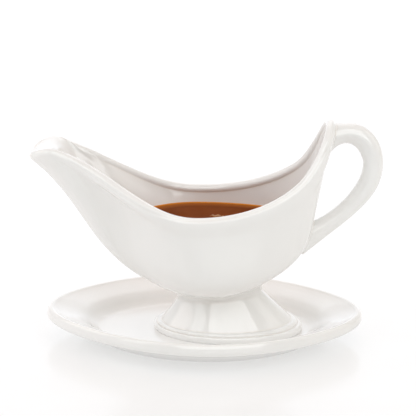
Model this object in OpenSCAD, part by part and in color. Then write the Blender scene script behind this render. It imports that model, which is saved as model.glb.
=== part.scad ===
// Gravy boat on a pedestal foot, standing loose on an oval saucer.
// Frame: +X towards the handle, -X the pouring lip, +Z up, z = 0 under the saucer's foot ring.
// Every piece is a closed skin of rings, so each stays one solid with plain facets.

/* [Rim of the bowl] */
// stern peak of the rim line, distance from the middle
stern_x = 81.7; // [80:0.1:86]
// stern peak of the rim line, height
stern_z = 149; // [140:0.5:155]
// shoulder, where the high stern runs into the side, distance from the middle
shoulder_x = 62.2; // [56:0.1:68]
// half width of the rim at the shoulder
shoulder_y = 28.8; // [25:0.1:32]
// height of the rim at the shoulder
shoulder_z = 113.1; // [108:0.1:119]
// widest and lowest place of the rim, distance from the middle
beam_x = -6.5; // [-14:0.1:4]
// half width of the rim at its widest
beam_y = 44.8; // [41:0.1:49]
// height of the rim at its lowest
beam_z = 91.9; // [88:0.1:98]
// neck of the spout, distance from the middle
neck_x = -97.9; // [-101:0.1:-92]
// half width of the spout at the neck
neck_y = 18.5; // [15:0.1:22]
// height of the rim at the neck
neck_z = 129.4; // [124:0.1:134]
// tip of the pouring lip, distance from the middle
tip_x = -114.2; // [-118:0.1:-110]
// tip of the pouring lip, height
tip_z = 125.2; // [120:0.1:130]
// radius of the rolled lip
lip_r = 3.1; // [2.8:0.1:3.4]

/* [Wall of the bowl] */
// wall thickness
wall = 4.1; // [3.6:0.1:4.5]
// middle of the seam with the foot
seam_x = 9.3; // [6:0.1:12]
// half length of the seam
seam_a = 28.4; // [26:0.1:31]
// half width of the seam
seam_b = 21.6; // [19:0.1:24]
// height of the seam
seam_z = 35.3; // [34.5:0.1:38]
// rise of the seam per mm towards the stern
seam_tilt = 0.11; // [0:0.005:0.12]
// level of the gravy
gravy_z = 83.2; // [60:0.1:84]
// space left between gravy and glaze so that the solids never share volume
gravy_gap = 0.2; // [0.2:0.01:0.4]

/* [Handle] */
// furthest point of the loop, distance from the middle
loop_x = 117.3; // [112:0.1:124]
// furthest point of the loop, height
loop_z = 122.2; // [118:0.1:127]
// thickness of the strap at that point
strap_t = 13.3; // [10:0.1:15]
// width of the strap at the upper root
strap_w_top = 18; // [14:0.5:22]
// width of the strap at the loop
strap_w_loop = 14; // [10:0.5:18]
// width of the strap at the lower root
strap_w_low = 13; // [10:0.5:16]
// height of the tail's end on the belly
tail_z = 58.6; // [56:0.1:61]

/* [Pedestal foot] */
// middle of the base
base_x = 16.8; // [12:0.1:20]
// half length at the waist
waist_a = 27.7; // [26:0.1:29]
// height of the waist
waist_z = 33.2; // [31:0.1:34]
// half length at the crease between cone and base
crease_a = 44; // [41.5:0.1:45.5]
// height of that crease
crease_z = 13; // [12:0.1:15]
// half length at the groove between the two tiers of the base
step_a = 47.4; // [45.5:0.1:48.5]
// height of that groove
step_z = 10.9; // [9.8:0.1:11.5]
// half length of the base at its fullest
base_a = 50.2; // [49:0.1:54]
// height at which the base is fullest
base_z = 8.7; // [8.3:0.1:9.5]
// width of the base over its length
base_ratio = 0.75; // [0.7:0.005:0.85]
// thickness of the foot's wall
foot_wall = 4.4; // [3:0.1:5]

/* [Saucer] */
// half length
saucer_a = 106.5; // [103:0.5:115]
// half width
saucer_b = 80; // [75:0.5:90]
// middle of the saucer
saucer_x = 0.6; // [-4:0.1:4]
// height of the rim
saucer_z = 20.5; // [19:0.1:23]
// how far the ends are drawn in towards a point
saucer_point = 0.22; // [0:0.01:0.3]
// inset at the sides over inset at the ends
side_inset = 0.8; // [0.7:0.01:0.9]
// height of the well's floor
well_z = 6.6; // [5.5:0.1:7.5]
// inset of the foot ring at the ends
ring_inset = 34; // [30:0.5:36]

/* [Hidden] */
n_seg = [11, 12, 12, 9];      // points along the four spans of half the rim
n_up = 13;                    // rings from seam to lip
n_lip = 9;                    // rings round the lip
n_ell = 80;                   // points round the foot and the saucer
n_loop = 12;                  // rings along each half of the handle
n_sec = 24;                   // points round the handle
lip_cut = 50;                 // angle below the lip's middle at which it meets the inside
proud_cut = 42;               // the same outside
flush_cut = -75;              // the same inside at the tip, where the lip ends on top
tip_dish = 0.6;               // depth of the channel at the tip
tip_fall = 0.03;              // how fast the channel deepens away from the tip

// ---------------------------------------------------------------- curves
function unit(v) = v / max(norm(v), 1e-9);
function mixv(a, b, t) = a * (1 - t) + b * t;
function herm(p0, p1, m0, m1, t) =
    (2*t*t*t - 3*t*t + 1) * p0 + (t*t*t - 2*t*t + t) * m0
    + (-2*t*t*t + 3*t*t) * p1 + (t*t*t - t*t) * m1;
function bez(a, b, c, d, t) =
    pow(1-t, 3) * a + 3 * pow(1-t, 2) * t * b + 3 * (1-t) * t * t * c + t*t*t * d;
// direction that runs towards the spout: turn in plan, then rise
function run_dir(turn, rise) = [-cos(turn) * cos(rise), sin(turn) * cos(rise), sin(rise)];
// soft step from 0 at low to 1 at high
function soft_step(low, high, v) = let (t = max(0, min(1, (v - low) / (high - low)))) t * t * (3 - 2 * t);
// points of a list of Bezier spans, each [a, b, c, d, steps], without the last end
function spans(list) = [for (s = list) for (i = [0 : s[4] - 1]) bez(s[0], s[1], s[2], s[3], i / s[4])];

// a closed skin: rings of equal length, closed at both ends by a fan to a point
module skin(rings, first, last) {
    m = len(rings);
    n = len(rings[0]);
    points = concat([for (r = rings) for (p = r) p], [first, last]);
    sides = [for (k = [0 : m - 2]) for (i = [0 : n - 1]) let (
                j = (i + 1) % n,
                a = k * n + i, b = k * n + j, c = (k + 1) * n + j, d = (k + 1) * n + i)
                each [[a, c, b], [a, d, c]]];
    ends = [for (i = [0 : n - 1]) let (j = (i + 1) % n)
                each [[m * n, i, j], [m * n + 1, (m - 1) * n + j, (m - 1) * n + i]]];
    polyhedron(points, concat(sides, ends));
}

// ---------------------------------------------------------------- rim of the bowl
rim_key = [[stern_x, 0, stern_z], [shoulder_x, shoulder_y, shoulder_z], [beam_x, beam_y, beam_z],
           [neck_x, neck_y, neck_z], [tip_x, 0, tip_z]];
rim_dir = [[0, 1, 0], run_dir(29, -37), [-1, 0, 0], run_dir(1, 21), [0, -1, 0]];
stern_pull = 1.35;            // fullness of the stern peak
tip_pull = 1.7;               // fullness of the pouring lip
rim_half = [for (s = [0 : 3]) let (
                c = norm(rim_key[s + 1] - rim_key[s]),
                g0 = s == 0 ? stern_pull : 1,
                g1 = s == 3 ? tip_pull : 1)
            for (i = [0 : n_seg[s] - 1])
                herm(rim_key[s], rim_key[s + 1], rim_dir[s] * c * g0, rim_dir[s + 1] * c * g1,
                     i / n_seg[s])];
half_n = len(rim_half);
rim = concat(rim_half, [rim_key[4]],
             [for (i = [half_n - 1 : -1 : 1]) [rim_half[i].x, -rim_half[i].y, rim_half[i].z]]);
n_rim = len(rim);

// ---------------------------------------------------------------- wall of the bowl
// one value for stern, side and spout, blended by the heading h
function lay(h, stern, side, spout) =
    stern * (h.x > 0 ? h.x * h.x : 0) + side * h.y * h.y + spout * (h.x < 0 ? h.x * h.x : 0);
head = [for (p = rim) unit([p.x - seam_x, p.y, 0])];
run = [for (i = [0 : n_rim - 1]) unit(rim[(i + 1) % n_rim] - rim[(i + n_rim - 1) % n_rim])];
// slope of the wall where it meets the lip and where it leaves the seam
top_slope = [for (h = head) lay(h, 78.4, 86, 39.3)];
low_slope = [for (h = head) lay(h, 41, 8, 19.7)];
rise = [for (i = [0 : n_rim - 1]) head[i] * cos(top_slope[i]) + [0, 0, sin(top_slope[i])]];
lip_out = [for (i = [0 : n_rim - 1]) let (c = unit(cross(rise[i], run[i]))) c * sign(c * head[i])];
lip_up = [for (i = [0 : n_rim - 1]) let (c = unit(cross(lip_out[i], run[i]))) c * sign(c * rise[i])];
seam_ring = [for (h = head) let (r = 1 / sqrt(pow(h.x / seam_a, 2) + pow(h.y / seam_b, 2)))
                [seam_x + h.x * r, h.y * r, seam_z + seam_tilt * h.x * r]];
// the lip stands proud of the wall; along the spout it sinks into it, first outside and then inside,
// so that the tip pours flush
out_cut = [for (p = rim) proud_cut * (1 - soft_step(neck_x + 36, neck_x + 10, p.x))];
function flush(x) = soft_step(neck_x + 16, neck_x - 2, x);
function in_cut_at(x) = mixv(lip_cut, flush_cut, flush(x));
in_cut = [for (p = rim) in_cut_at(p.x)];
wall_top = [for (i = [0 : n_rim - 1])
                rim[i] + lip_r * (cos(out_cut[i]) * lip_out[i] - sin(out_cut[i]) * lip_up[i])];
outer = [for (k = [0 : n_up]) [for (i = [0 : n_rim - 1]) let (
            h = head[i], a = seam_ring[i], d = wall_top[i], c = norm(d - a),
            b0 = a + lay(h, 0.461, 0.56, 0.488) * c * (h * cos(low_slope[i]) + [0, 0, sin(low_slope[i])]),
            b1 = d - lay(h, 0.80, 0.56, 0.402) * c * rise[i])
            bez(a, b0, b1, d, k / n_up)]];
// outward direction of the wall at ring k, point i
function face(k, i) = let (
    up = outer[min(k + 1, n_up)][i] - outer[max(k - 1, 0)][i],
    along = outer[k][(i + 1) % n_rim] - outer[k][(i + n_rim - 1) % n_rim])
    unit(cross(along, up));
out_dir = [for (k = [0 : n_up]) [for (i = [0 : n_rim - 1]) face(k, i)]];
// wall thickness at ring k, point i: the wall fills out to the lip's full width where the tip is flush
function thick(k, i) = mixv(wall, 2 * lip_r, flush(rim[i].x) * soft_step(0.5, 0.95, k / n_up));
// towards the tip the channel's floor rises until it is level with the lip
spout_half = [for (i = [0 : half_n]) if (rim[i].x < 0) rim[i]];
spout_y = [for (p = spout_half) [p.x, p.y]];
spout_z = [for (p = spout_half) [p.x, p.z]];
function channel(p) = let (
    cut = in_cut_at(p.x),
    half_w = max(0.5, lookup(p.x, spout_y) - lip_r * cos(cut)),
    d = max(0, p.x - neck_x + 6),
    drop = tip_dish + tip_fall * d * d * (1 + d / 30))
    lookup(p.x, spout_z) - lip_r * sin(cut) - drop * (1 - min(1, pow(p.y / half_w, 2)));
function raised(p) = p.x > neck_x + 30 ? p : [p.x, p.y, max(p.z, channel(p))];
// the inside runs up to the lip's inner edge
inner = [for (k = [0 : n_up]) [for (i = [0 : n_rim - 1])
            k == n_up ? rim[i] - lip_r * (cos(in_cut[i]) * lip_out[i] + sin(in_cut[i]) * lip_up[i])
                      : raised(outer[k][i] - thick(k, i) * out_dir[k][i])]];
lip = [for (k = [1 : n_lip]) [for (i = [0 : n_rim - 1])
            let (t = mixv(-out_cut[i], 180 + in_cut[i], k / (n_lip + 1)))
            rim[i] + lip_r * (cos(t) * lip_out[i] + sin(t) * lip_up[i])]];
floor_drop = 0.9;             // dish of the inside floor below its own edge
function centre(ring) = [for (c = [0, 1, 2]) [for (p = ring) p[c]] * [for (p = ring) 1] / len(ring)];
floor_mid = centre(inner[0]) - [0, 0, floor_drop];
// ring of the dished floor at share s of its edge, raised by up
function floor_ring(s, up) = [for (p = inner[0]) let (q = mixv(floor_mid, p, s))
    [q.x, q.y, mixv(floor_mid, p, s * s).z + up]];

module bowl() {
    color([0.95, 0.95, 0.93])
        skin(concat(outer, lip, [for (k = [n_up : -1 : 0]) inner[k]],
                    [for (s = [0.7, 0.35]) floor_ring(s, 0)]),
             [seam_x, 0, seam_z], floor_mid);
}

// ---------------------------------------------------------------- gravy
module gravy() {
    depth = 14;               // rings from floor to surface
    side = [for (i = [0 : n_rim - 1]) [for (k = [0 : n_up])
                inner[k][i] - gravy_gap * out_dir[k][i]]];
    // place along each meridian where the wall passes the level
    cross_at = [for (s = side) let (
                k = len([for (q = s) if (q.z < gravy_z) 1]) - 1)
                k + (gravy_z - s[k].z) / (s[k + 1].z - s[k].z)];
    rings = [for (j = [0 : depth]) [for (i = [0 : n_rim - 1]) let (
                u = cross_at[i] * j / depth, k = min(floor(u), n_up - 1),
                p = mixv(side[i][k], side[i][k + 1], u - k))
                j == depth ? [p.x, p.y, gravy_z] : p]];
    color([0.36, 0.2, 0.09])
        skin(concat([for (s = [0.35, 0.7]) floor_ring(s, gravy_gap)], rings),
             floor_mid + [0, 0, gravy_gap], [seam_x, 0, gravy_z]);
}

// ---------------------------------------------------------------- handle
function polar(r, a) = r * [cos(a), sin(a)];
// outer edge of the strap, then the edge round the finger hole, both in the middle plane
top_root = [81.2, 147.8];
hole_root = [80.7, 128.5];
tail_end = [65.6, tail_z];
hole_end = [70.9, tail_z + 23.1];
outer_mid = [loop_x, loop_z];
hole_mid = [loop_x - strap_t, loop_z];
outer_edge = concat(
    spans([[top_root, top_root + polar(22.9, 21), outer_mid + [0, 18.9], outer_mid, n_loop],
           [outer_mid, outer_mid - [0, 24.9], tail_end - polar(39.6, 222), tail_end, n_loop]]),
    [tail_end]);
hole_edge = concat(
    spans([[hole_root, hole_root + polar(22.4, 51), hole_mid + [0, 6.4], hole_mid, n_loop],
           [hole_mid, hole_mid - [0, 16.3], hole_end - polar(13.6, 201), hole_end, n_loop]]),
    [hole_end]);
square = 0.86;                // below 1 the section fills its corners a little
function fill(v) = sign(v) * pow(abs(v), square);

module handle() {
    m = len(outer_edge) - 1;
    rings = [for (k = [0 : m]) let (
                o = outer_edge[k], q = hole_edge[k], mid = (o + q) / 2, arm = (o - q) / 2,
                s = k / m,
                w = s < 0.5 ? mixv(strap_w_top, strap_w_loop, sin(180 * s))
                            : mixv(strap_w_loop, strap_w_low, 2 * s - 1))
            [for (i = [0 : n_sec - 1]) let (
                t = -360 * i / n_sec,
                u = fill(cos(t)), v = fill(sin(t)),
                r = mid + arm * u)
                [r[0], v * w / 2, r[1]]]];
    color([0.95, 0.95, 0.93])
        skin(rings, centre(rings[0]), centre(rings[m]));
}

// ---------------------------------------------------------------- pedestal foot
seam_ratio = seam_b / seam_a;
// ring of the foot at half length a and height z: it slides from the seam's middle to the base's
function foot_ring(a, z) = let (
    f = max(0, min(1, (seam_z - z) / (seam_z - base_z))),
    b = a * mixv(seam_ratio, base_ratio, f),
    x = mixv(seam_x, base_x, f))
    [for (i = [0 : n_ell - 1]) let (t = 360 * i / n_ell)
        [x + a * cos(t), b * sin(t), z + seam_tilt * (1 - f) * a * cos(t)]];

module pedestal_foot() {
    rest_z = well_z;          // the base stands on the well's floor
    bottom_a = base_a - 0.7;
    land = 6.1;               // width of the bare ring it stands on
    outside = concat(
        spans([[[seam_a, seam_z], [seam_a - 0.5, seam_z - 0.3],
                [waist_a - 0.3, waist_z + 1.4], [waist_a, waist_z], 4],
               [[waist_a, waist_z], [waist_a + 1.2, waist_z - 5.5],
                [crease_a - 5, crease_z + 6.2], [crease_a, crease_z], 10],
               [[crease_a, crease_z], [crease_a + 2.2, crease_z + 0.2],
                [step_a + 0.8, step_z + 1.7], [step_a, step_z], 5],
               [[step_a, step_z], [step_a + 2.4, step_z + 0.3],
                [base_a + 0.1, base_z + 1.6], [base_a, base_z], 5],
               [[base_a, base_z], [base_a, base_z - 1.4],
                [bottom_a + 0.4, rest_z + 0.1], [bottom_a, rest_z], 4]]),
        [[bottom_a, rest_z]]);
    w = foot_wall;
    inside = concat(
        [[bottom_a - land, rest_z], [bottom_a - land - 0.9, rest_z + 1.2]],
        spans([[[bottom_a - land - 1.2, rest_z + 2.4], [crease_a - w - 1.5, crease_z - 3],
                [waist_a - w + 1, waist_z - 10], [waist_a - w - 1, waist_z - 5.5], 7],
               [[waist_a - w - 1, waist_z - 5.5], [waist_a - w - 2.6, waist_z - 3],
                [waist_a - w - 8, waist_z - 1.6], [waist_a - w - 14, waist_z - 1.4], 4]]));
    profile = concat(outside, inside);
    color([0.94, 0.94, 0.92])
        skin([for (k = [len(profile) - 1 : -1 : 0]) foot_ring(profile[k][0], profile[k][1])],
             centre(foot_ring(4, waist_z - 1.3)), [seam_x, 0, seam_z]);
}

// ---------------------------------------------------------------- saucer
// ring at inset d from the edge and height z
function saucer_ring(d, z) = [for (i = [0 : n_ell - 1]) let (
    t = 360 * i / n_ell, k = saucer_point * max(0, 1 - d / 60))
    [saucer_x + (saucer_a - d) * cos(t),
     (saucer_b - side_inset * d) * sin(t) * (1 - k * pow(cos(t), 2)), z]];

module saucer() {
    r = ring_inset;
    h = saucer_z;
    under_z = 2.4;            // underside of the well inside the foot ring
    under = [[r + 30, under_z], [r + 7.5, under_z], [r + 6, 1.6], [r + 5, 0], [r + 0.6, 0], [r - 0.8, 0.5],
             [r - 3, 1.8], [r - 7, 4], [r - 13, 7.3], [r - 20, 10], [7, 11.8], [3.2, 12.2], [1, 13.4]];
    edge = [[0.15, 14.9], [0, 16.2], [0.2, 17.9], [0.8, h - 1.2], [1.7, h - 0.35], [2.7, h]];
    top = [[3.9, h - 0.15], [5.6, h - 0.9], [9.5, h - 2.3], [15, h - 3.9], [21, h - 5.8], [25.5, h - 8.1],
           [29.5, h - 10.9], [32.8, well_z + 1.2], [35, well_z + 0.35], [37.5, well_z], [r + 30, well_z]];
    color([0.95, 0.95, 0.94])
        skin([for (p = concat(under, edge, top)) saucer_ring(p[0], p[1])],
             [saucer_x, 0, under_z], [saucer_x, 0, well_z]);
}

// ---------------------------------------------------------------- the set
saucer();
pedestal_foot();
bowl();
handle();
gravy();
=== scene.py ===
"""Looks of the gravy boat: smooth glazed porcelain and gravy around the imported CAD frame."""

import math

import bpy
import numpy as np
from mathutils import Matrix, Vector
from mathutils.bvhtree import BVHTree


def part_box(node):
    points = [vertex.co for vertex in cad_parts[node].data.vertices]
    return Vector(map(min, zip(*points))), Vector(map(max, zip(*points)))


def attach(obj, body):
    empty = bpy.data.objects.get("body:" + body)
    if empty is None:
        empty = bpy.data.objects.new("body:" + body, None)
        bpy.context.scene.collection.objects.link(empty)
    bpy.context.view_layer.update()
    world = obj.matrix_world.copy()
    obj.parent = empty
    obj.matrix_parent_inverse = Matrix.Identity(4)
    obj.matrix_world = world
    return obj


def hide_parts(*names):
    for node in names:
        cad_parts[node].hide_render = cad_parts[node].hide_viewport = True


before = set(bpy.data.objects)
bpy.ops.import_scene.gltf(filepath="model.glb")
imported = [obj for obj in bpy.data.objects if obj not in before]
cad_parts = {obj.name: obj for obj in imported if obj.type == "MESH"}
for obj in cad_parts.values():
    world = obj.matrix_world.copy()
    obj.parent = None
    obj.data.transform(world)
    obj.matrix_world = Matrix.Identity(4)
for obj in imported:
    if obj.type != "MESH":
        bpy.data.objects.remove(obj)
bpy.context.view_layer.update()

# ---------------------------------------------------------------- sizes, in millimetres
MM = 0.001

# rim of the bowl: stern peak, shoulder, widest place, neck of the spout, tip of the lip;
# peak and tip lie a hair further in than the part's, since a round skin reaches past a faceted one
RIM_KEY = np.array([[81.7, 0, 148.97], [62.2, 28.8, 113.1], [-6.5, 44.8, 91.9],
                    [-97.9, 18.5, 129.4], [-114.19, 0, 125.2]])
RIM_STEPS = [40, 52, 56, 44]
STERN_PULL = 1.35         # how far the rim's curve carries on at the peak
TIP_PULL = 1.7            # and at the tip
LIP_R = 3.1
LIP_CUT = 50              # angle below the lip's middle at which it meets the inside
PROUD_CUT = 42            # the same outside
FLUSH_CUT = -75           # the same inside at the tip, where the lip ends on top
NECK_X = RIM_KEY[3][0]
PROUD_FADE = (36, 10)     # stretch before the neck over which the lip sinks into the wall outside
FLUSH_FADE = (16, -2)     # the same inside
TIP_DISH = 0.6            # depth of the channel at the tip
TIP_FALL = 0.03           # how fast it deepens away from the tip
CHANNEL_START = -6        # where it starts to fall, measured from the neck
CHANNEL_LENGTH = 30       # where it ends, and the length over which its fall doubles
CHANNEL_BLEND = 0.4       # rounding between the channel and the wall
FAR_BELOW = -1e3          # height of the channel where there is none
BEVEL = 0.15              # how much the lip's outer face is flattened between its two soft edges
BEVEL_ANGLE = 45          # where on the lip it is flattest, in degrees up from the outside
BEVEL_WIDTH = 22
FLANK_FULL = -45          # x from which the spout's flanks have their full bulge
FLANK_SWELL = 0.35        # how much fuller the lip's inner bulge is along the spout

# wall of the bowl and its seam with the foot
WALL = 4.1
SEAM_X = 9.3
SEAM_A = 28.4
SEAM_B = 21.6
SEAM_Z = 35.3
SEAM_TILT = 0.11
TOP_SLOPE = (78.4, 86, 39.3)      # slope of the wall at the lip, in degrees: stern, side, spout
LOW_SLOPE = (41, 8, 19.7)         # the same at the seam
TOP_PULL = (0.80, 0.56, 0.402)    # how far each slope carries, as a share of the wall's chord
LOW_PULL = (0.461, 0.56, 0.488)
FLOOR_DROP = 0.9          # how far the floor's middle lies below its edge
LAST_STRETCH = 12 / 13    # from here up the inside bends over to the lip

# gravy
GRAVY_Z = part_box("gravy")[1].z / MM
MENISCUS = 0.9            # how far the sauce climbs the wall
CLIMB_REACH = 0.9         # distance from the wall over which the climb dies away
FILM = 0.15               # the climbing skin's edge lies this far below its top
WAVES = 9
WAVE_LENGTH = (9, 26)
WAVE_FLATNESS = 1600      # length of a wave over its height
WAVE_FADE = 9             # distance over which the waves rise from nothing
DEEP_AT = 10.0            # distance from the wall at which the sauce looks deep
BUBBLES = 16
BUBBLE_X = 8.0            # middle of the cluster of bubbles
BUBBLE_Y = 8.5
BUBBLE_SPREAD = (5, 1.4)  # half the cluster's length and width
BUBBLE_SIZE = (0.35, 1.15)
BUBBLE_FLATNESS = 0.7     # height of a bubble over its radius

# handle, in its middle plane
LOOP_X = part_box("handle")[1].x / MM
LOOP_Z = 122.2
STRAP_T = 13.3
STRAP_W_TOP = 18
STRAP_W_LOOP = 14
STRAP_W_LOW = 13
TAIL_Z = 58.6

# pedestal foot
BASE_X = 16.8
WAIST_A = 27.7
WAIST_Z = 33.2
CREASE_A = 44
CREASE_Z = 13
STEP_A = 47.4
STEP_Z = 10.9
BASE_A = 50.2
BASE_Z = 8.7
BASE_RATIO = 0.75
FOOT_WALL = 4.4
LAND_WIDTH = 6.1          # width of the ring it stands on
LAND_INSET = 0.7          # how far that ring lies inside the base's widest line

# saucer
SAUCER_LOW, SAUCER_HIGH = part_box("saucer")
SAUCER_A = (SAUCER_HIGH.x - SAUCER_LOW.x) / 2 / MM
SAUCER_B = (SAUCER_HIGH.y - SAUCER_LOW.y) / 2 / MM
SAUCER_X = (SAUCER_HIGH.x + SAUCER_LOW.x) / 2 / MM
SAUCER_Z = SAUCER_HIGH.z / MM
SAUCER_POINT = 0.22       # how much the ends are drawn in
SIDE_INSET = 0.8          # share of an inset that counts across
WELL_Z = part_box("pedestal_foot")[0].z / MM
RING_INSET = 34           # where the foot ring lies, in from the edge


# ---------------------------------------------------------------- curves
def unit(v):
    return v / np.maximum(np.linalg.norm(v, axis=-1, keepdims=True), 1e-9)


def mix(a, b, t):
    return a * (1 - t) + b * t


def smooth_step(low, high, v):
    t = np.clip((v - low) / (high - low), 0, 1)
    return t * t * (3 - 2 * t)


def hermite(p0, p1, m0, m1, t):
    return ((2 * t**3 - 3 * t**2 + 1) * p0 + (t**3 - 2 * t**2 + t) * m0
            + (-2 * t**3 + 3 * t**2) * p1 + (t**3 - t**2) * m1)


def bezier(a, b, c, d, t):
    return (1 - t)**3 * a + 3 * (1 - t)**2 * t * b + 3 * (1 - t) * t**2 * c + t**3 * d


def bezier_span(a, b, c, d, steps, last=False):
    """Points of one Bezier span; the last end is left to the next span unless asked for."""
    t = np.arange(steps + (1 if last else 0))[:, None] / steps
    return bezier(*(np.array(p, float) for p in (a, b, c, d)), t)


def through(points, per_span):
    """A smooth curve through a list of points (Catmull-Rom with chord-length knots)."""
    p = np.array(points, float)
    knots = np.concatenate([[0], np.cumsum(np.sqrt(np.linalg.norm(np.diff(p, axis=0), axis=1)))])
    slopes = np.gradient(p, knots, axis=0)
    out = []
    for k in range(len(p) - 1):
        h = knots[k + 1] - knots[k]
        t = np.arange(per_span)[:, None] / per_span
        out.append(hermite(p[k], p[k + 1], slopes[k] * h, slopes[k + 1] * h, t))
    return np.concatenate(out + [p[-1:]])


def run_dir(turn, rise):
    """Direction that runs towards the spout: turn in plan, then rise, in degrees."""
    t, r = math.radians(turn), math.radians(rise)
    return np.array([-math.cos(t) * math.cos(r), math.sin(t) * math.cos(r), math.sin(r)])


# ---------------------------------------------------------------- meshes
def ring_mesh(name, rings, first=None, last=None):
    """A closed skin over rings of equal length (millimetres), with a fan to a point at each end."""
    rings = np.asarray(rings, float)
    m, n = rings.shape[:2]
    points = [rings.reshape(-1, 3)]
    quads = []
    for k in range(m - 1):
        a = k * n + np.arange(n)
        b = k * n + (np.arange(n) + 1) % n
        quads.append(np.stack([a, b, b + n, a + n], axis=1))
    faces = np.concatenate(quads).tolist()
    count = m * n
    i = np.arange(n)
    j = (i + 1) % n
    if first is not None:
        points.append(np.asarray(first, float)[None])
        faces += np.stack([np.full(n, count), j, i], axis=1).tolist()
        count += 1
    if last is not None:
        points.append(np.asarray(last, float)[None])
        faces += np.stack([np.full(n, count), (m - 1) * n + i, (m - 1) * n + j], axis=1).tolist()
    mesh = bpy.data.meshes.new(name)
    mesh.from_pydata((np.concatenate(points) * MM).tolist(), [], faces)
    mesh.validate()
    make_outward(mesh)
    mesh.shade_smooth()
    piece = bpy.data.objects.new(name, mesh)
    bpy.context.scene.collection.objects.link(piece)
    return piece


def make_outward(mesh):
    """Turns the faces so that the enclosed volume is positive."""
    co = np.empty(len(mesh.vertices) * 3)
    mesh.vertices.foreach_get("co", co)
    co = co.reshape(-1, 3)
    mesh.calc_loop_triangles()
    tri = np.empty(len(mesh.loop_triangles) * 3, int)
    mesh.loop_triangles.foreach_get("vertices", tri)
    a, b, c = (co[tri.reshape(-1, 3)[:, k]] for k in range(3))
    if (a * np.cross(b, c)).sum() < 0:
        mesh.flip_normals()


def mark_curvature(piece, pool_and_shade_radius=2.0, ridge_radius=3.0, passes=4):
    """Stores at each point how hollow (the mark for painted shade and glaze pooling in hollows and
    creases) and how sharp ("ridge") it is, from 0 to 1.
    """
    mesh = piece.data
    n = len(mesh.vertices)
    co = np.empty(n * 3)
    mesh.vertices.foreach_get("co", co)
    co = co.reshape(-1, 3) / MM
    normal = np.empty(n * 3)
    mesh.vertex_normals.foreach_get("vector", normal)
    normal = normal.reshape(-1, 3)
    edges = np.empty(len(mesh.edges) * 2, int)
    mesh.edges.foreach_get("vertices", edges)
    a, b = edges.reshape(-1, 2).T
    step = co[b] - co[a]
    square = np.maximum((step**2).sum(1), 1e-6)
    total = np.zeros(n)
    count = np.zeros(n)
    np.add.at(total, a, 2 * (step * normal[a]).sum(1) / square)
    np.add.at(total, b, -2 * (step * normal[b]).sum(1) / square)
    np.add.at(count, a, 1)
    np.add.at(count, b, 1)
    bend = total / np.maximum(count, 1)
    for _ in range(passes):
        near = np.zeros(n)
        np.add.at(near, a, bend[b])
        np.add.at(near, b, bend[a])
        bend = (bend + near / np.maximum(count, 1)) / 2
    # the hollow value becomes painted shade in the glaze: darker, warmer hollows and creases,
    # together with the glaze's real pooling
    for name, value in (("pool_and_shade", bend * pool_and_shade_radius), ("ridge", -bend * ridge_radius)):
        layer = mesh.attributes.new(name, "FLOAT", "POINT")
        layer.data.foreach_set("value", np.clip(value, 0, 1).astype(np.float32))


# ---------------------------------------------------------------- bowl
def rim_line():
    """The rim's centre line, from the stern peak along +Y to the tip and back along -Y."""
    ways = [np.array([0.0, 1, 0]), run_dir(29, -37), np.array([-1.0, 0, 0]), run_dir(1, 21),
            np.array([0.0, -1, 0])]
    half = []
    for s, steps in enumerate(RIM_STEPS):
        chord = np.linalg.norm(RIM_KEY[s + 1] - RIM_KEY[s])
        pull0 = STERN_PULL if s == 0 else 1
        pull1 = TIP_PULL if s == 3 else 1
        t = np.arange(steps)[:, None] / steps
        half.append(hermite(RIM_KEY[s], RIM_KEY[s + 1], ways[s] * chord * pull0,
                            ways[s + 1] * chord * pull1, t))
    half = np.concatenate(half)
    back = half[:0:-1] * [1, -1, 1]
    return np.concatenate([half, RIM_KEY[4:5], back])


def lay(head, stern, side, spout):
    """One value for stern, side and spout, blended by the heading."""
    x, y = head[:, 0], head[:, 1]
    return stern * np.where(x > 0, x * x, 0) + side * y * y + spout * np.where(x < 0, x * x, 0)


def fade(stretch, x):
    """From 0 to 1 towards the tip, over a stretch measured from the neck of the spout."""
    return smooth_step(NECK_X + stretch[0], NECK_X + stretch[1], x)


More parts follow.
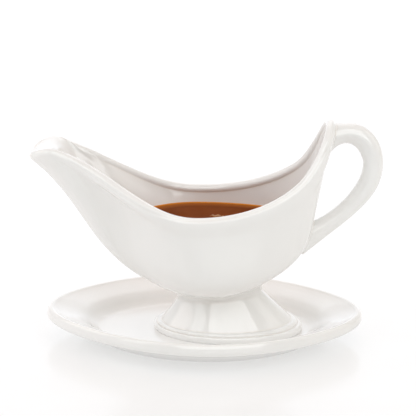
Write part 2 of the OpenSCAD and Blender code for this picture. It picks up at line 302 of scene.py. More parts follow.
class Bowl:
    """The bowl's surfaces as functions of u, from 0 at the seam to 1 at the lip."""

    def __init__(self):
        rim = rim_line()
        self.rim = rim
        self.flush = fade(FLUSH_FADE, rim[:, 0])
        self.flank = smooth_step(RIM_KEY[2][0], FLANK_FULL, rim[:, 0]) * (1 - self.flush)
        self.in_cut = self.in_cut_at(rim[:, 0])
        self.inset = mix(WALL, 2 * LIP_R, self.flush)[:, None]
        self.head = unit((rim - [SEAM_X, 0, 0]) * [1, 1, 0])
        run = unit(np.roll(rim, -1, axis=0) - np.roll(rim, 1, axis=0))
        top_slope = np.radians(lay(self.head, *TOP_SLOPE))[:, None]
        low_slope = np.radians(lay(self.head, *LOW_SLOPE))[:, None]
        up = np.array([0, 0, 1.0])
        self.rise = self.head * np.cos(top_slope) + up * np.sin(top_slope)
        out = unit(np.cross(self.rise, run))
        self.lip_out = out * np.sign((out * self.head).sum(1, keepdims=True))
        lift = unit(np.cross(self.lip_out, run))
        self.lip_up = lift * np.sign((lift * self.rise).sum(1, keepdims=True))
        h = self.head
        r = 1 / np.sqrt((h[:, 0] / SEAM_A)**2 + (h[:, 1] / SEAM_B)**2)
        self.seam = np.stack([SEAM_X + h[:, 0] * r, h[:, 1] * r, SEAM_Z + SEAM_TILT * h[:, 0] * r],
                             axis=1)
        self.out_cut = PROUD_CUT * (1 - fade(PROUD_FADE, rim[:, 0]))
        self.top = self.lip_at(-self.out_cut)
        chord = np.linalg.norm(self.top - self.seam, axis=1, keepdims=True)
        low = h * np.cos(low_slope) + up * np.sin(low_slope)
        self.b0 = self.seam + lay(h, *LOW_PULL)[:, None] * chord * low
        self.b1 = self.top - lay(h, *TOP_PULL)[:, None] * chord * self.rise
        self.chord = chord

    def lip_at(self, angle):
        """Ring on the rolled lip at an angle in degrees: 0 is outside, 90 on top, 180 inside."""
        angle = np.broadcast_to(angle, len(self.rim))
        t = np.radians(angle)[:, None]
        bevel = BEVEL * np.exp(-((angle - BEVEL_ANGLE) / BEVEL_WIDTH)**2) * (1 - self.flush)
        swell = FLANK_SWELL * self.flank * smooth_step(90, 200, angle)
        r = (LIP_R * (1 - bevel + swell))[:, None]
        return self.rim + r * (np.cos(t) * self.lip_out + np.sin(t) * self.lip_up)

    def in_cut_at(self, x):
        """Angle below the lip's middle at which it meets the inside; at the tip it ends on top."""
        return mix(LIP_CUT, FLUSH_CUT, fade(FLUSH_FADE, x))

    def channel(self, ring):
        """Height of the spout's channel, which rises towards the tip until it meets the lip."""
        half = self.rim[:len(self.rim) // 2 + 1]
        spout = half[half[:, 0] < 0][::-1]
        x, y = ring[:, 0], ring[:, 1]
        cut = np.radians(self.in_cut_at(x))
        half_w = np.maximum(0.5, np.interp(x, spout[:, 0], spout[:, 1]) - LIP_R * np.cos(cut))
        d = np.maximum(0, x - NECK_X - CHANNEL_START)
        drop = TIP_DISH + TIP_FALL * d * d * (1 + d / CHANNEL_LENGTH)
        edge_z = np.interp(x, spout[:, 0], spout[:, 2]) - LIP_R * np.sin(cut)
        height = edge_z - drop * (1 - np.minimum(1, (y / half_w)**2))
        return np.where(x > NECK_X + CHANNEL_LENGTH, FAR_BELOW, height)

    def outer(self, u):
        return bezier(self.seam, self.b0, self.b1, self.top, u)

    def normal(self, u):
        step = 0.01
        ring = self.outer(u)
        along = np.roll(ring, -1, axis=0) - np.roll(ring, 1, axis=0)
        up = self.outer(min(u + step, 1)) - self.outer(max(u - step, 0))
        return unit(np.cross(along, up))

    def inner(self, u, proud=0.0):
        """The inside, which bends over to the lip's inner edge in its last stretch."""
        inset = mix(WALL, self.inset, smooth_step(0.5, 0.95, u)) - proud
        ring = self.outer(u) - inset * self.normal(u)
        edge = self.lip_at(180 + self.in_cut)
        last = self.outer(1) - inset * self.normal(1)
        ring = ring + (edge - last) * max(0, (u - LAST_STRETCH) / (1 - LAST_STRETCH))**1.5
        gap = ring[:, 2] - self.channel(ring)
        lift = (np.sqrt(gap**2 + CHANNEL_BLEND**2) - gap) / 2
        ring[:, 2] += lift - np.where(gap < 1, CHANNEL_BLEND / 3, 0)
        return ring

    def at_heading(self, u, angle):
        """Points of the outer surface at height u and the given headings, in radians."""
        ring = self.outer(u)
        a = np.arctan2(self.head[:, 1], self.head[:, 0])
        order = np.argsort(a)
        return np.stack([np.interp(angle, a[order], ring[order, c], period=2 * math.pi)
                         for c in range(3)], axis=1)


def fillet(start, end, start_way, end_way, steps):
    """Rings between two rings, tangent to a way at each; both ends are left out."""
    span = np.linalg.norm(end - start, axis=1, keepdims=True)
    return [hermite(start, end, start_way * span, end_way * span, k / steps)
            for k in range(1, steps)]


def bowl_rings(shape):
    outer_gap = 8.0           # how far the lip's soft root reaches down the wall outside
    inner_gap = 0.5           # the same inside
    first = 6                 # angle at which the root runs into the lip
    height = float(shape.chord.mean())
    u_top = 1 - outer_gap / height
    rings = [shape.outer(u) for u in np.linspace(0, u_top, 56)]
    lip_start = shape.lip_at(first)
    lip_way = unit(shape.lip_at(first + 1) - lip_start)
    wall_way = unit(shape.outer(u_top) - shape.outer(u_top - 0.01))
    rings += fillet(rings[-1], lip_start, wall_way, lip_way, 7)
    inner_bend = math.degrees(inner_gap / LIP_R)
    for k in range(29):
        rings.append(shape.lip_at(mix(first, 180 + shape.in_cut - inner_bend, k / 28)))
    u_in = 1 - inner_gap / height
    in_ring = shape.inner(u_in)
    in_way = unit(shape.inner(u_in - 0.01) - in_ring)
    lip_way = unit(rings[-1] - shape.lip_at(180 + shape.in_cut - inner_bend - 1))
    rings += fillet(rings[-1], in_ring, lip_way, in_way, 5)
    rings += [shape.inner(u) for u in np.linspace(u_in, 0, 50)]
    floor_edge = rings[-1]
    middle = floor_edge.mean(axis=0) - [0, 0, FLOOR_DROP]
    for s in (0.92, 0.8, 0.65, 0.45, 0.22):
        ring = mix(middle, floor_edge, s)
        ring[:, 2] = mix(middle[2], floor_edge[:, 2], s * s)
        rings.append(ring)
    return rings, middle


def make_bowl(shape):
    rings, middle = bowl_rings(shape)
    piece = ring_mesh("bowl_glazed", rings, [SEAM_X, 0, SEAM_Z - 1], middle)
    mark_curvature(piece)
    return piece


# ---------------------------------------------------------------- gravy
def make_gravy(shape):
    """Filled to the wall, with the thin skin that climbs it and small waves."""
    n = len(shape.rim)
    us = np.linspace(0, 1, 200)
    walls = np.stack([shape.inner(u, 0.05) for u in us])
    level = GRAVY_Z

    def wall_at(z):
        ring = np.empty((n, 3))
        for i in range(n):
            above = np.argmax(walls[:, i, 2] > z)
            low, high = walls[above - 1, i], walls[above, i]
            ring[i] = mix(low, high, (z - low[2]) / (high[2] - low[2]))
        return ring

    edge = wall_at(level - FILM)
    climb = wall_at(level)
    centre = np.array([SEAM_X, 0, level])
    inward = unit((centre - edge) * [1, 1, 0])
    rings = [wall_at(z) for z in np.linspace(walls[0, :, 2].max() + 0.5, level - 2, 14)]
    rings += [edge, climb]
    for d in (0.35, 0.8, 1.4, 2.2, 3.2, 4.6):
        ring = edge + inward * d
        ring[:, 2] = level - MENISCUS * (1 - math.exp(-d / CLIMB_REACH))
        rings.append(ring)
    last = rings[-1]
    flat_rings = 26
    for s in np.linspace(0.95, 0.05, flat_rings):
        ring = mix(centre, last, s)
        ring[:, 2] = level - MENISCUS
        rings.append(ring)
    waves = np.random.default_rng(7)
    ways = waves.uniform(0, 2 * math.pi, WAVES)
    shifts = waves.uniform(0, 2 * math.pi, WAVES)
    lengths = waves.uniform(*WAVE_LENGTH, WAVES)
    for ring in rings[-flat_rings:]:
        swell = np.zeros(n)
        for way, shift, length in zip(ways, shifts, lengths):
            swell += np.sin((ring[:, 0] * math.cos(way) + ring[:, 1] * math.sin(way))
                            * 2 * math.pi / length + shift) * length / WAVE_FLATNESS
        ring[:, 2] += swell * smooth_step(0, WAVE_FADE, np.linalg.norm(ring - last, axis=1))
    bottom = rings[0].mean(axis=0)
    piece = ring_mesh("gravy_filled", rings, bottom, [centre[0], centre[1], level - MENISCUS])
    mesh = piece.data
    co = np.array([v.co for v in mesh.vertices]) / MM
    near = np.array([np.sqrt(((edge[:, :2] - point[:2])**2).sum(1).min()) for point in co])
    depth = np.clip(near / DEEP_AT, 0, 1)
    layer = mesh.attributes.new("depth", "FLOAT", "POINT")
    layer.data.foreach_set("value", depth.astype(np.float32))
    return piece


def make_bubbles():
    """A cluster of small bubbles: flattened domes that float in the surface."""
    spots = np.random.default_rng(11)
    points, faces = [], []
    rows, turns = 5, 14
    for k in range(BUBBLES):
        radius = spots.uniform(*BUBBLE_SIZE)
        x = BUBBLE_X + spots.uniform(-BUBBLE_SPREAD[0], BUBBLE_SPREAD[0])
        y = BUBBLE_Y + spots.uniform(-BUBBLE_SPREAD[1], BUBBLE_SPREAD[1])
        z = GRAVY_Z - MENISCUS
        base = len(points)
        for j in range(rows):
            lift = math.radians(-35 + j * 115 / (rows - 0.5))
            for i in range(turns):
                a = 2 * math.pi * i / turns
                points.append((x + radius * math.cos(lift) * math.cos(a),
                               y + radius * math.cos(lift) * math.sin(a),
                               z + radius * BUBBLE_FLATNESS * math.sin(lift)))
        points.append((x, y, z + radius * BUBBLE_FLATNESS))
        points.append((x, y, z - radius * BUBBLE_FLATNESS))
        for j in range(rows - 1):
            for i in range(turns):
                a, b = base + j * turns + i, base + j * turns + (i + 1) % turns
                faces.append((a, b, b + turns, a + turns))
        top = base + (rows - 1) * turns
        for i in range(turns):
            faces.append((top + i, top + (i + 1) % turns, base + rows * turns))
            faces.append((base + (i + 1) % turns, base + i, base + rows * turns + 1))
    mesh = bpy.data.meshes.new("gravy_bubbles")
    mesh.from_pydata([tuple(c * MM for c in p) for p in points], [], faces)
    mesh.validate()
    make_outward(mesh)
    mesh.shade_smooth()
    piece = bpy.data.objects.new("gravy_bubbles", mesh)
    bpy.context.scene.collection.objects.link(piece)
    return piece


# ---------------------------------------------------------------- handle
def polar(r, a):
    return r * np.array([math.cos(math.radians(a)), math.sin(math.radians(a))])


def handle_edges(steps):
    """Outer edge of the strap and the edge round the finger hole, both in the middle plane."""
    top_root = np.array([81.2, 147.8])
    hole_root = np.array([80.7, 128.5])
    tail_end = np.array([65.6, TAIL_Z])
    hole_end = np.array([70.9, TAIL_Z + 23.1])
    outer_mid = np.array([LOOP_X, LOOP_Z])
    hole_mid = np.array([LOOP_X - STRAP_T, LOOP_Z])
    # each curve leaves its end with the length and angle given to polar
    outer = np.concatenate([
        bezier_span(top_root, top_root + polar(22.9, 21), outer_mid + [0, 18.9], outer_mid, steps),
        bezier_span(outer_mid, outer_mid - [0, 24.9], tail_end - polar(39.6, 222), tail_end,
                    steps, True)])
    hole = np.concatenate([
        bezier_span(hole_root, hole_root + polar(22.4, 51), hole_mid + [0, 6.4], hole_mid, steps),
        bezier_span(hole_mid, hole_mid - [0, 16.3], hole_end - polar(13.6, 201), hole_end,
                    steps, True)])
    return outer, hole


def strap_section(count, ridge):
    """Section of the strap as (u, v): u from -1 at the finger hole to 1 outside, v across.
    The flank towards the hole turns in at a soft arris, as much as ridge says."""
    fullness = 0.86
    middle = 0.12             # where the arris runs, as a share of the half thickness
    t = -2 * math.pi * np.arange(count) / count
    c, s = np.cos(t), np.sin(t)
    u = np.sign(c) * np.abs(c)**fullness
    v = np.sign(s) * np.abs(s)**fullness
    q = np.clip((middle - u) / (1 + middle), 0, 1)
    slim = np.sqrt(np.clip(1 - q, 0, 1))
    full = np.abs(v)
    return u, np.sign(v) * mix(full, np.minimum(full, slim), ridge)


def handle_lines(count=72, steps=56):
    outer, hole = handle_edges(steps)
    m = len(outer) - 1
    rings = np.empty((m + 1, count, 3))
    for k in range(m + 1):
        s = k / m
        if s < 0.5:
            w = mix(STRAP_W_TOP, STRAP_W_LOOP, math.sin(math.pi * s))
        else:
            w = mix(STRAP_W_LOOP, STRAP_W_LOW, 2 * s - 1)
        ridge = 1 - float(smooth_step(0.26, 0.5, s))
        u, v = strap_section(count, ridge)
        mid = (outer[k] + hole[k]) / 2
        arm = (outer[k] - hole[k]) / 2
        rings[k, :, 0] = mid[0] + arm[0] * u
        rings[k, :, 1] = v * w / 2
        rings[k, :, 2] = mid[1] + arm[1] * u
    return rings


def root_fillet(lines, tree, reach, steps):
    """Soft root: lines run from the loop's middle towards the bowl. Returns, for each line, how
    far along it the fillet starts (arc length) and the fillet's points, the last one hidden."""
    sunk = 0.06               # depth of the fillet's edge
    buried = (0.3, 1.2)       # the hidden end's step, along the wall and into it
    count = lines.shape[1]
    starts = np.empty(count)
    curves = np.empty((steps + 1, count, 3))
    middle = lines.mean(axis=1)
    for i in range(count):
        line = lines[:, i]
        arc = np.concatenate([[0], np.cumsum(np.linalg.norm(np.diff(line, axis=0), axis=1))])
        cross = len(line) - 1
        for k in range(len(line)):
            point, normal, _, _ = tree.find_nearest(Vector(line[k] * MM))
            if (Vector(line[k] * MM) - point).dot(normal) < 0:
                cross = k
                break
        spot, face, _, _ = tree.find_nearest(Vector(line[cross] * MM))
        hit, face = np.array(spot) / MM, np.array(face)
        starts[i] = max(arc[cross] - reach[i], 0.5)
        p0 = np.array([np.interp(starts[i], arc, line[:, c]) for c in range(3)])
        p_back = np.array([np.interp(starts[i] - 0.3, arc, line[:, c]) for c in range(3)])
        way0 = unit(p0 - p_back)
        away = unit(line[cross] - middle[cross])
        away = unit(away - face * (away @ face))
        spot, face1, _, _ = tree.find_nearest(Vector((hit + away * reach[i]) * MM))
        p1 = np.array(spot) / MM
        face1 = np.array(face1)
        way1 = unit(away - face1 * (away @ face1))
        p1 = p1 - face1 * sunk
        span = np.linalg.norm(p1 - p0)
        for k in range(steps):
            curves[k, i] = hermite(p0, p1, way0 * span, way1 * span, (k + 1) / steps)
        curves[steps, i] = p1 + way1 * buried[0] - face1 * buried[1]
    return starts, curves


def make_handle(bowl):
    lines = handle_lines()
    count = lines.shape[1]
    tree = BVHTree.FromPolygons([v.co.copy() for v in bowl.data.vertices],
                                [list(p.vertices) for p in bowl.data.polygons])
    u, _ = strap_section(count, 0)
    half = len(lines) // 2
    steps = 14
    # how far each root reaches, in millimetres: most at the top of the finger hole
    reach_top = 1.4 + 1.0 * smooth_step(0.9, 0.1, u) + 7.0 * smooth_step(-0.2, -1.0, u)
    reach_low = 1.3 + 1.7 * smooth_step(1.0, 0.2, u) - 1.2 * smooth_step(-0.2, -0.9, u)
    top_start, top_curve = root_fillet(lines[half::-1], tree, reach_top, steps)
    low_start, low_curve = root_fillet(lines[half:], tree, reach_low, steps)
    body = np.empty((180, count, 3))
    for i in range(count):
        line = lines[:, i]
        arc = np.concatenate([[0], np.cumsum(np.linalg.norm(np.diff(line, axis=0), axis=1))])
        spot = np.linspace(arc[half] - top_start[i], arc[half] + low_start[i], len(body))
        body[:, i] = np.stack([np.interp(spot, arc, line[:, c]) for c in range(3)], axis=1)
    rings = np.concatenate([top_curve[::-1], body, low_curve])
    inward = np.array([-1.5, 0, 0])
    piece = ring_mesh("handle_glazed", rings, rings[0].mean(axis=0) + inward,
                      rings[-1].mean(axis=0) + inward)
    mark_curvature(piece, pool_and_shade_radius=0.7)
    return piece


# ---------------------------------------------------------------- pedestal foot
def foot_ring(a, z, t):
    f = min(1, max(0, (SEAM_Z - z) / (SEAM_Z - BASE_Z)))
    b = a * mix(SEAM_B / SEAM_A, BASE_RATIO, f)
    x = mix(SEAM_X, BASE_X, f)
    return np.stack([x + a * np.cos(t), b * np.sin(t),
                     z + SEAM_TILT * (1 - f) * a * np.cos(t)], axis=1)


def make_foot(shape):
    bottom_a = BASE_A - LAND_INSET
    land_a = bottom_a - LAND_WIDTH
    join_ends, join_side = 4.2, 11.0     # reach of the soft joint along the belly
    per_length = 0.75                    # u that one chord's length of wall takes near the seam
    proud = np.array([0, 0, 0.05])       # the joint's edge stands this far out of the belly
    skipped = 7                          # steps of the cone whose place the joint takes
    t = 2 * math.pi * np.arange(240) / 240
    heading = np.arctan2(SEAM_B * np.sin(t), SEAM_A * np.cos(t))
    join = mix(join_ends, join_side, np.sin(heading)**2)
    u_join = join / float(shape.chord.mean()) * per_length

    def on_belly(u):
        return np.concatenate([shape.at_heading(u[i], heading[i:i + 1]) for i in range(len(u))])

    belly = on_belly(u_join)
    outward = unit((belly - [SEAM_X, 0, 0]) * [1, 1, 0])
    belly = belly + outward * 0.02 - proud
    belly_way = unit(on_belly(u_join * 0.8) - belly)
    cone_span = bezier_span([WAIST_A, WAIST_Z], [WAIST_A + 1.2, WAIST_Z - 5.5],
                            [CREASE_A - 5, CREASE_Z + 6.2], [CREASE_A, CREASE_Z], 40)
    cone = [foot_ring(a, z, t) for a, z in cone_span[skipped:]]
    cone_way = unit(cone[1] - cone[0])
    buried = belly + [0, 0, 1.5] - outward * 0.5
    rings = [buried, belly] + fillet(belly, cone[0], belly_way, cone_way, 14) + cone
    tiers = np.concatenate([
        bezier_span([CREASE_A, CREASE_Z], [CREASE_A + 2.2, CREASE_Z + 0.2],
                    [STEP_A + 0.8, STEP_Z + 1.7], [STEP_A, STEP_Z], 16),
        bezier_span([STEP_A, STEP_Z], [STEP_A + 2.4, STEP_Z + 0.3], [BASE_A + 0.1, BASE_Z + 1.6],
                    [BASE_A, BASE_Z], 14),
        bezier_span([BASE_A, BASE_Z], [BASE_A, BASE_Z - 1.4], [bottom_a + 0.4, WELL_Z + 0.1],
                    [bottom_a, WELL_Z], 8, True)])
    w = FOOT_WALL
    inside = np.concatenate([
        bezier_span([bottom_a - 0.4, WELL_Z], [bottom_a - 1, WELL_Z], [land_a + 1, WELL_Z],
                    [land_a, WELL_Z], 4),
        bezier_span([land_a, WELL_Z], [land_a - 0.6, WELL_Z + 0.3],
                    [land_a - 1.1, WELL_Z + 1.4], [land_a - 1.2, WELL_Z + 2.4], 5),
        bezier_span([land_a - 1.2, WELL_Z + 2.4], [CREASE_A - w - 1.5, CREASE_Z - 3],
                    [WAIST_A - w + 1, WAIST_Z - 10], [WAIST_A - w - 1, WAIST_Z - 5.5], 18),
        bezier_span([WAIST_A - w - 1, WAIST_Z - 5.5], [WAIST_A - w - 2.6, WAIST_Z - 3],
                    [WAIST_A - w - 8, WAIST_Z - 1.6], [WAIST_A - w - 14, WAIST_Z - 1.4], 10, True)])
    rings += [foot_ring(a, z, t) for a, z in np.concatenate([tiers, inside])]
    top = foot_ring(4, WAIST_Z - 1.3, t).mean(axis=0)
    piece = ring_mesh("foot_glazed", rings, [SEAM_X, 0, SEAM_Z], top)
    mark_curvature(piece, pool_and_shade_radius=0.9)
    return piece


# ---------------------------------------------------------------- saucer
def saucer_ring(d, z, t):
    k = SAUCER_POINT * max(0, 1 - d / 60)
    return np.stack([SAUCER_X + (SAUCER_A - d) * np.cos(t),
                     (SAUCER_B - SIDE_INSET * d) * np.sin(t) * (1 - k * np.cos(t)**2),
                     np.full(len(t), z)], axis=1)


def make_saucer():
    """The profile holds pairs of inset from the edge and height: the underside's middle, the foot
    ring, the flange from below round its edge to the top, and the well."""
    r, h, under_z = RING_INSET, SAUCER_Z, 2.4
    t = 2 * math.pi * np.arange(288) / 288
    floor = [[r + 30, under_z], [r + 12, under_z], [r + 7.5, under_z], [r + 6.2, 1.8],
             [r + 5.5, 0.6]]
    ring = [[r + 5, 0], [r + 4, 0], [r + 1.6, 0], [r + 0.6, 0.05]]
    under = [[r - 0.4, 0.35], [r - 3, 1.8], [r - 7, 4], [r - 13, 7.3], [r - 20, 10], [7, 11.8],
             [3.2, 12.2], [1, 13.4], [0.15, 14.9], [0, 16.2], [0.2, 17.9], [0.8, h - 1.2],
             [1.7, h - 0.35], [2.7, h], [3.9, h - 0.15], [5.6, h - 0.9], [9.5, h - 2.3],
             [15, h - 3.9], [21, h - 5.8], [25.5, h - 8.1], [29.5, h - 10.9], [32.8, WELL_Z + 1.2],
             [35, WELL_Z + 0.35], [37.5, WELL_Z]]
    well = [[r + 8, WELL_Z], [r + 20, WELL_Z], [r + 40, WELL_Z], [r + 60, WELL_Z]]
    profile = np.concatenate([through(floor + ring[:1], 4)[:-1], np.array(ring),
                              through(under, 6), np.array(well)])
    profile[:, 1] = np.clip(profile[:, 1], 0, h)
    rings = [saucer_ring(d, z, t) for d, z in profile]
    piece = ring_mesh("saucer_glazed", rings, [SAUCER_X, 0, under_z], [SAUCER_X, 0, WELL_Z])
    mark_curvature(piece)
    return piece


# ---------------------------------------------------------------- materials
class Nodes:
    """A short way to build a node material."""

    def __init__(self, name):
        self.material = bpy.data.materials.new(name)
        self.material.use_nodes = True
        self.tree = self.material.node_tree
        self.tree.nodes.clear()
        output = self.add("ShaderNodeOutputMaterial")
        self.shader = self.add("ShaderNodeBsdfPrincipled")
        self.link(self.shader, "BSDF", output, "Surface")

    def add(self, kind, **values):
        node = self.tree.nodes.new(kind)
        for key, value in values.items():
            setattr(node, key, value)
        return node

    def link(self, a, out, b, into):
        self.tree.links.new(a.outputs[out], b.inputs[into])

    def coordinates(self):
        return self.add("ShaderNodeTexCoord")

    def noise(self, scale, detail=3.0, rough=0.5):
        node = self.add("ShaderNodeTexNoise")
        node.inputs["Scale"].default_value = scale
        node.inputs["Detail"].default_value = detail
        node.inputs["Roughness"].default_value = rough
        self.link(self.coordinates(), "Object", node, "Vector")
        return node

    def ramp(self, source, out, stops):
        node = self.add("ShaderNodeValToRGB")
        items = node.color_ramp.elements
        while len(items) < len(stops):
            items.new(0.5)
        for item, (place, colour) in zip(items, stops):
            item.position = place
            item.color = (*colour, 1)
        self.link(source, out, node, "Fac")
        return node

    def blend(self, factor, factor_out, a, b):
        """Mixes two colours; a and b are each a colour or a (node, output) pair."""
        node = self.add("ShaderNodeMix", data_type="RGBA")
        self.tree.links.new(factor.outputs[factor_out], node.inputs[0])
        for value, slot in ((a, 6), (b, 7)):
            if isinstance(value, tuple) and isinstance(value[0], bpy.types.Node):
                self.tree.links.new(value[0].outputs[value[1]], node.inputs[slot])
            else:
                node.inputs[slot].default_value = (*value, 1)
        return node

    def to_range(self, source, out, low, high, from_low=0.0, from_high=1.0):
        node = self.add("ShaderNodeMapRange")
        for key, value in (("From Min", from_low), ("From Max", from_high),
                           ("To Min", low), ("To Max", high)):
            node.inputs[key].default_value = value
        self.link(source, out, node, "Value")
        return node

    def bump(self, source, out, strength, distance, below=None):
        node = self.add("ShaderNodeBump")
        node.inputs["Strength"].default_value = strength
        node.inputs["Distance"].default_value = distance
        self.link(source, out, node, "Height")
        if below is not None:
            self.link(below, "Normal", node, "Normal")
        return node


def glaze(name):
    """Clear glaze over white porcelain: thicker and warmer where it pools, with painted shade
    darkening its hollows and creases, thin on sharp edges.
    """
    # the pool colour is painted shade for hollows and creases, mixed with the tint of pooled glaze
    body, pool_and_shade, speck = (0.90, 0.893, 0.88), (0.80, 0.74, 0.67), (0.42, 0.38, 0.33)
    m = Nodes(name)
    cloud = m.noise(38, 4)
    tone = m.ramp(cloud, "Fac", [(0.3, tuple(c * 0.985 for c in body)), (0.7, body)])
    hollow = m.add("ShaderNodeAttribute", attribute_name="pool_and_shade")
    # painted shade: the glaze turns darker and warmer in hollows and creases, together with its
    # real pooling
    shaded_pool_tone = m.blend(hollow, "Fac", (tone, "Color"), pool_and_shade)
    ridge = m.add("ShaderNodeAttribute", attribute_name="ridge")
    thin = m.to_range(ridge, "Fac", 0, 0.35)
    bright = m.blend(thin, "Result", (shaded_pool_tone, 2), tuple(min(1, c * 1.03) for c in body))
    specks = m.noise(1500, 1, 0.4)
    dots = m.ramp(specks, "Fac", [(0.775, (0, 0, 0)), (0.80, (1, 1, 1))])
    faint = m.to_range(dots, "Color", 0, 0.12)
    final = m.blend(faint, "Result", (bright, 2), speck)
    m.link(final, 2, m.shader, "Base Color")
    rough = m.to_range(m.noise(90, 5), "Fac", 0.05, 0.12)
    m.link(rough, "Result", m.shader, "Roughness")
    wave = m.bump(m.noise(24, 1), "Fac", 0.1, 0.0008)
    peel = m.bump(m.noise(420, 2), "Fac", 0.06, 0.0001, wave)
    m.link(peel, "Normal", m.shader, "Normal")
    m.shader.inputs["IOR"].default_value = 1.5
    m.shader.inputs["Coat Weight"].default_value = 0.35
    m.shader.inputs["Coat Roughness"].default_value = 0.04
    m.shader.inputs["Coat IOR"].default_value = 1.45
    return m.material


def gravy_look():
    """Brown sauce: amber where it is thin at the wall, dark and faintly clouded in the middle."""
    m = Nodes("gravy_wet")
    cloud = m.noise(60, 6, 0.6)
    body = m.ramp(cloud, "Fac", [(0.3, (0.16, 0.036, 0.005)), (0.7, (0.20, 0.048, 0.007))])
    depth = m.add("ShaderNodeAttribute", attribute_name="depth")
    edge = m.ramp(depth, "Fac", [(0.0, (0.84, 0.40, 0.09)), (0.05, (0.66, 0.22, 0.03)),
                                 (0.16, (0.37, 0.11, 0.020)), (1.0, (0.28, 0.085, 0.020))])
    mask = m.ramp(depth, "Fac", [(0.25, (0, 0, 0)), (0.9, (1, 1, 1))])
    colour = m.blend(mask, "Color", (edge, "Color"), (body, "Color"))
    m.link(colour, 2, m.shader, "Base Color")
    rough = m.to_range(m.noise(140, 4), "Fac", 0.16, 0.3)
    m.link(rough, "Result", m.shader, "Roughness")
    swell = m.bump(m.noise(70, 2), "Fac", 0.3, 0.0008)
    m.link(m.bump(m.noise(700, 3), "Fac", 0.15, 0.0002, swell), "Normal", m.shader, "Normal")
    m.shader.inputs["IOR"].default_value = 1.2
    m.shader.inputs["Specular IOR Level"].default_value = 0.015
    return m.material


def bubble_look():
    """Thin skin of sauce over air: lighter and shinier than the sauce round it."""
    m = Nodes("gravy_bubble")
    film = m.noise(900, 2)
    tone = m.ramp(film, "Fac", [(0.3, (0.34, 0.14, 0.05)), (0.7, (0.52, 0.27, 0.12))])
    m.link(tone, "Color", m.shader, "Base Color")
    m.link(m.to_range(film, "Fac", 0.05, 0.16), "Result", m.shader, "Roughness")
    m.shader.inputs["IOR"].default_value = 1.33
    return m.material


def floor_look():
    m = Nodes("pale_floor")
    grain = m.noise(12, 3)
    tone = m.ramp(grain, "Fac", [(0.3, (0.49, 0.49, 0.49)), (0.7, (0.51, 0.51, 0.51))])
    m.link(tone, "Color", m.shader, "Base Color")
    m.shader.inputs["Roughness"].default_value = 0.16
    m.shader.inputs["Emission Color"].default_value = (1, 1, 1, 1)
    m.shader.inputs["Emission Strength"].default_value = FLOOR_GLOW
    return m.material


# ---------------------------------------------------------------- stage, light and camera
# colours are linear; each room lobe is a direction and a colour, each lamp a name, azimuth,
# elevation, power, colour and whether it shows as a reflection, each window a name, azimuth,
# width and power
FLOOR_GLOW = 0.39
ROOM = (0.51, 0.485, 0.42)
ROOM_LOBES = [(Vector((0, 0, 1)), (0.41, 0.27, 0.27)),
              (Vector((0, 0.99, 0.14)), (0.72, 0.78, 0.90)),
              (Vector((-0.99, 0, 0.14)), (0.21, 0.31, 0.41))]
LAMPS = [("front_left", -45, 40, 1.9, (0.62, 0.83, 1), False),
         ("front_right", 40, 42, 3.4, (0.77, 0.90, 1), False),
         ("right", 90, 25, 2.0, (1, 0.94, 0.93), True),
         ("left", 270, 28, 3.6, (1, 0.86, 0.82), True),
         ("back", 180, 50, 1.6, (0.85, 0.92, 1), True)]
WINDOWS = [("window", 13, 1.5, 16), ("window_wing", -50, 0.4, 2.6)]
LAMP_SIZE = 0.9
LAMP_DISTANCE = 1.3
WINDOW_HEIGHT = 1.3
WINDOW_DISTANCE = 1.25
WINDOW_RISE = 32          # degrees above the table
AIM = Vector((0, 0, 0.06))
CAMERA_PLACE = Vector((1.7, -1200, 412)) * MM
CAMERA_AIM = Vector((1.7, 0, 90)) * MM
CAMERA_LENS = 161.06
CAMERA_ROLL = 1.0         # in degrees


def make_floor():
    """A wide round floor, its rings closer together near the object."""
    count = 96
    t = 2 * math.pi * np.arange(count) / count
    rings = [np.stack([r * np.cos(t), r * np.sin(t), np.zeros(count)], axis=1)
             for r in (100, 300, 800, 2500, 9000)]
    points = np.concatenate(rings + [np.zeros((1, 3))]) * MM
    faces = []
    for k in range(len(rings) - 1):
        for i in range(count):
            j = (i + 1) % count
            faces.append([k * count + i, (k + 1) * count + i, (k + 1) * count + j, k * count + j])
    faces += [[len(points) - 1, i, (i + 1) % count] for i in range(count)]
    mesh = bpy.data.meshes.new("floor")
    mesh.from_pydata(points.tolist(), [], faces)
    floor = bpy.data.objects.new("floor", mesh)
    bpy.context.scene.collection.objects.link(floor)
    mesh.materials.append(floor_look())


def towards(azimuth, elevation):
    """Direction in degrees: azimuth 0 is the front (-Y), 90 is +X, 180 the back."""
    a, e = math.radians(azimuth), math.radians(elevation)
    return Vector((math.sin(a) * math.cos(e), -math.cos(a) * math.cos(e), math.sin(e)))


def make_world():
    """A pale room with brighter sides: a base colour, and lobes that fade away from a direction."""
    world = bpy.data.worlds.new("studio")
    bpy.context.scene.world = world
    world.use_nodes = True
    tree = world.node_tree
    tree.nodes.clear()
    output = tree.nodes.new("ShaderNodeOutputWorld")
    total = tree.nodes.new("ShaderNodeBackground")
    total.inputs["Color"].default_value = (*ROOM, 1)
    view = tree.nodes.new("ShaderNodeTexCoord")
    for way, colour in ROOM_LOBES:
        dot = tree.nodes.new("ShaderNodeVectorMath")
        dot.operation = "DOT_PRODUCT"
        dot.inputs[1].default_value = way
        tree.links.new(view.outputs["Generated"], dot.inputs[0])
        front = tree.nodes.new("ShaderNodeMath")
        front.operation = "MAXIMUM"
        front.inputs[1].default_value = 0
        tree.links.new(dot.outputs["Value"], front.inputs[0])
        lobe = tree.nodes.new("ShaderNodeMath")
        lobe.operation = "POWER"
        lobe.inputs[1].default_value = 4
        tree.links.new(front.outputs[0], lobe.inputs[0])
        glow = tree.nodes.new("ShaderNodeBackground")
        glow.inputs["Color"].default_value = (*colour, 1)
        tree.links.new(lobe.outputs[0], glow.inputs["Strength"])
        both = tree.nodes.new("ShaderNodeAddShader")
        tree.links.new(total.outputs[0], both.inputs[0])
        tree.links.new(glow.outputs[0], both.inputs[1])
        total = both
    tree.links.new(total.outputs[0], output.inputs["Surface"])


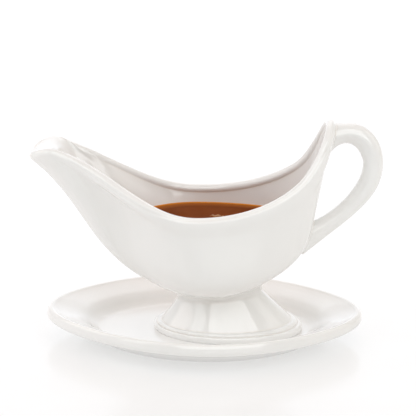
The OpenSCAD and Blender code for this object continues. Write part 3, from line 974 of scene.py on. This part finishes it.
def make_softbox(name, place, width, height, power, colour=(1, 1, 1), lights=True, shines=True):
    """A soft box aimed at the object: it lights the set, shows as a reflection, or both."""
    light = bpy.data.lights.new(name, "AREA")
    light.shape = "RECTANGLE"
    light.size = width
    light.size_y = height
    light.energy = power
    light.color = colour
    box = bpy.data.objects.new(name, light)
    bpy.context.scene.collection.objects.link(box)
    box.location = place
    box.rotation_euler = (AIM - place).to_track_quat("-Z", "Y").to_euler()
    box.visible_diffuse = lights
    box.visible_glossy = shines


def make_lights():
    """Five soft lamps round the set, the two in front without reflections, and two tall windows
    in front that only show as reflections."""
    for name, azimuth, elevation, power, colour, shines in LAMPS:
        place = AIM + LAMP_DISTANCE * towards(azimuth, elevation)
        make_softbox(name, place, LAMP_SIZE, LAMP_SIZE, power, colour, shines=shines)
    for name, azimuth, width, power in WINDOWS:
        place = AIM + WINDOW_DISTANCE * towards(azimuth, WINDOW_RISE)
        make_softbox(name, place, width, WINDOW_HEIGHT, power, lights=False)


def make_camera():
    camera = bpy.data.cameras.new("camera")
    camera.sensor_width = 36
    camera.lens = CAMERA_LENS
    eye = bpy.data.objects.new("camera", camera)
    bpy.context.scene.collection.objects.link(eye)
    aimed = (CAMERA_AIM - CAMERA_PLACE).to_track_quat("-Z", "Y").to_matrix()
    turn = aimed @ Matrix.Rotation(math.radians(CAMERA_ROLL), 3, "Z")
    eye.matrix_world = Matrix.Translation(CAMERA_PLACE) @ turn.to_4x4()
    bpy.context.scene.camera = eye


# ---------------------------------------------------------------- the set
def finish_piece(piece, node, body, material):
    piece.data.materials.append(material)
    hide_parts(node)
    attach(piece, body)


def main():
    scene = bpy.context.scene
    scene.view_settings.view_transform = "Standard"
    make_camera()
    make_floor()
    make_world()
    make_lights()

    boat_glaze = glaze("boat_glaze_clear")
    saucer_glaze = glaze("saucer_glaze_clear")
    shape = Bowl()
    bowl = make_bowl(shape)
    finish_piece(bowl, "bowl", "boat", boat_glaze)
    finish_piece(make_gravy(shape), "gravy", "boat", gravy_look())
    bubbles = make_bubbles()
    bubbles.data.materials.append(bubble_look())
    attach(bubbles, "boat")
    finish_piece(make_handle(bowl), "handle", "boat", boat_glaze)
    finish_piece(make_foot(shape), "pedestal_foot", "boat", boat_glaze)
    finish_piece(make_saucer(), "saucer", "saucer", saucer_glaze)


main()
